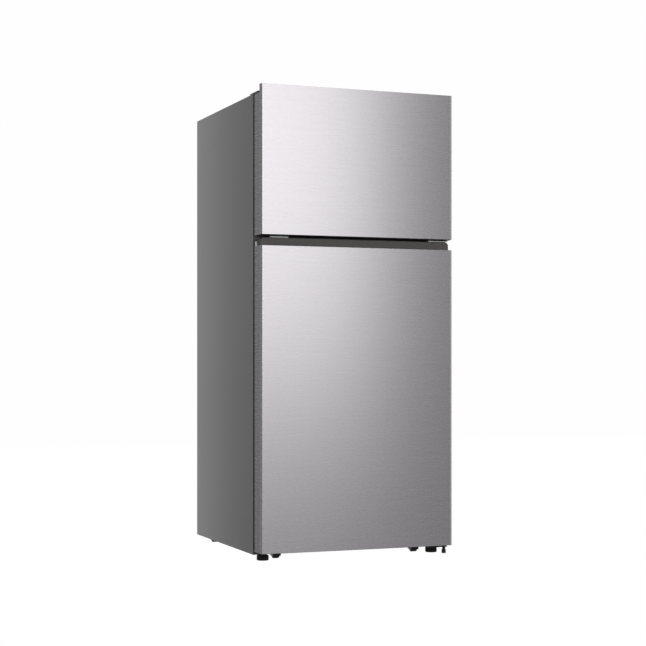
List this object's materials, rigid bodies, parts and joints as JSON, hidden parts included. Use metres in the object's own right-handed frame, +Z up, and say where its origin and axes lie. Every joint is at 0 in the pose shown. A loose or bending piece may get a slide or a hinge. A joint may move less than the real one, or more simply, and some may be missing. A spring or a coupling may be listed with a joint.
{
  "type": "top freezer refrigerator",
  "caption": "Free-standing refrigerator with a top freezer, brushed steel doors hinged on the right, door bins, glass shelves and sliding crispers.",
  "frame": {"origin": "middle of the footprint, on the floor", "axes": "+Z up, the doors face -Y, +X on the right of someone who faces the doors"},
  "size_m": [0.744, 0.779, 1.684],
  "materials": {
    "stainless": "brushed, grain across the door",
    "cabinet_paint": "satin grey paint on steel",
    "galvanised": "bare galvanised sheet",
    "hinge_steel": "light grey plated steel",
    "black_metal": "black enamel",
    "aluminium": "bare fins and tube",
    "white_wire": "white coated wire",
    "foam": "rigid foam",
    "white_plastic": "smooth moulded white",
    "dark_plastic": "fine textured dark grey",
    "clear_plastic": "clear moulded styrene",
    "glass": "tempered pane",
    "gasket_grey": "soft light grey seal",
    "black_rubber": "black rubber",
    "black_plastic": "black moulded"
  },
  "bodies": {
    "cabinet": {"cabinet_shell": "cabinet_paint", "back_panel": "galvanised", "mullion_bar": "dark_plastic", "base_frame": "galvanised", "freezer_liner": "white_plastic", "fridge_liner": "white_plastic", "cabinet_foam": "foam", "top_hinge": "hinge_steel", "top_hinge_cover": "dark_plastic", "top_blank_cover": "dark_plastic", "middle_hinge": "hinge_steel", "bottom_hinge": "black_metal", "hinge_screws": "hinge_steel", "roller_forks": "black_metal", "shelf_frames": "white_plastic", "shelf_panes": "glass", "crisper_cover": "white_plastic", "freezer_shelf": "white_wire", "evaporator_cover": "white_plastic", "evaporator_coil": "aluminium", "fan_motors": "black_metal", "compressor": "black_metal", "compressor_grommets": "black_rubber", "condenser_coil": "black_metal", "drain_pan": "black_plastic", "machine_cover": "galvanised", "cord_gland": "black_plastic", "control_housing": "white_plastic", "lamp_lens": "clear_plastic"},
    "freezer_door": {"freezer_door_skin": "stainless", "freezer_door_foam": "foam", "freezer_door_top_cap": "dark_plastic", "freezer_door_bottom_cap": "dark_plastic", "freezer_door_stop": "hinge_steel", "freezer_door_liner": "white_plastic", "freezer_door_gasket": "gasket_grey", "freezer_bin_low": "clear_plastic", "freezer_bin_high": "clear_plastic"},
    "fridge_door": {"fridge_door_skin": "stainless", "fridge_door_foam": "foam", "fridge_door_bottom_cap": "dark_plastic", "fridge_door_top_cap": "dark_plastic", "fridge_door_liner": "white_plastic", "fridge_door_gasket": "gasket_grey", "fridge_bin_low": "clear_plastic", "fridge_bin_middle": "clear_plastic", "fridge_bin_high": "clear_plastic", "dairy_shelf": "white_plastic"},
    "dairy_flap": {"dairy_flap": "clear_plastic"},
    "crisper_left": {"crisper_left": "clear_plastic"},
    "crisper_right": {"crisper_right": "clear_plastic"},
    "temperature_dial": {"temperature_knob": "white_plastic"},
    "evaporator_fan_wheel": {"evaporator_fan": "black_plastic"},
    "condenser_fan_wheel": {"condenser_fan": "black_plastic"},
    "roller_front_left": {"roller_front_left": "black_plastic"},
    "roller_front_right": {"roller_front_right": "black_plastic"},
    "roller_rear_left": {"roller_rear_left": "black_plastic"},
    "roller_rear_right": {"roller_rear_right": "black_plastic"},
    "foot_left": {"levelling_foot_left": "black_rubber"},
    "foot_right": {"levelling_foot_right": "black_rubber"}
  },
  "joints": [
    {"name": "freezer_door_swing", "type": "hinge", "parent": "cabinet", "child": "freezer_door", "pos_m": [0.35, -0.3595, 1.4], "axis": [0, 0, 1], "range_deg": [0, 130]},
    {"name": "fridge_door_swing", "type": "hinge", "parent": "cabinet", "child": "fridge_door", "pos_m": [0.35, -0.3595, 0.58], "axis": [0, 0, 1], "range_deg": [0, 130]},
    {"name": "dairy_flap_lift", "type": "hinge", "parent": "fridge_door", "child": "dairy_flap", "pos_m": [-0.15, -0.252, 1.0625], "axis": [1, 0, 0], "range_deg": [0, 80]},
    {"name": "crisper_left_slide", "type": "slide", "parent": "cabinet", "child": "crisper_left", "axis": [0, -1, 0], "range_m": [0, 0.245]},
    {"name": "crisper_right_slide", "type": "slide", "parent": "cabinet", "child": "crisper_right", "axis": [0, -1, 0], "range_m": [0, 0.245]},
    {"name": "temperature_dial_turn", "type": "hinge", "parent": "cabinet", "child": "temperature_dial", "pos_m": [-0.1, -0.0695, 1.0535], "axis": [0, 0, 1], "range_deg": [-135, 135]},
    {"name": "evaporator_fan_spin", "type": "hinge", "parent": "cabinet", "child": "evaporator_fan_wheel", "pos_m": [0, 0.2675, 1.528], "axis": [0, 1, 0], "continuous": true},
    {"name": "condenser_fan_spin", "type": "hinge", "parent": "cabinet", "child": "condenser_fan_wheel", "pos_m": [0.01, 0.2875, 0.122], "axis": [1, 0, 0], "continuous": true},
    {"name": "roller_front_left_roll", "type": "hinge", "parent": "cabinet", "child": "roller_front_left", "pos_m": [-0.272, -0.2595, 0.0156], "axis": [1, 0, 0], "continuous": true},
    {"name": "roller_front_right_roll", "type": "hinge", "parent": "cabinet", "child": "roller_front_right", "pos_m": [0.272, -0.2595, 0.0156], "axis": [1, 0, 0], "continuous": true},
    {"name": "roller_rear_left_roll", "type": "hinge", "parent": "cabinet", "child": "roller_rear_left", "pos_m": [-0.326, 0.2995, 0.015], "axis": [1, 0, 0], "continuous": true},
    {"name": "roller_rear_right_roll", "type": "hinge", "parent": "cabinet", "child": "roller_rear_right", "pos_m": [0.326, 0.2995, 0.015], "axis": [1, 0, 0], "continuous": true},
    {"name": "foot_left_turn", "type": "hinge", "parent": "cabinet", "child": "foot_left", "pos_m": [-0.331, -0.2895, 0.02], "axis": [0, 0, 1], "continuous": true},
    {"name": "foot_right_turn", "type": "hinge", "parent": "cabinet", "child": "foot_right", "pos_m": [0.331, -0.2895, 0.02], "axis": [0, 0, 1], "continuous": true}
  ],
  "couplings": [
    {"joint": "crisper_left_slide", "follows": "fridge_door_swing", "m_per_rad": 0.10798},
    {"joint": "crisper_right_slide", "follows": "fridge_door_swing", "m_per_rad": 0.10798}
  ]
}
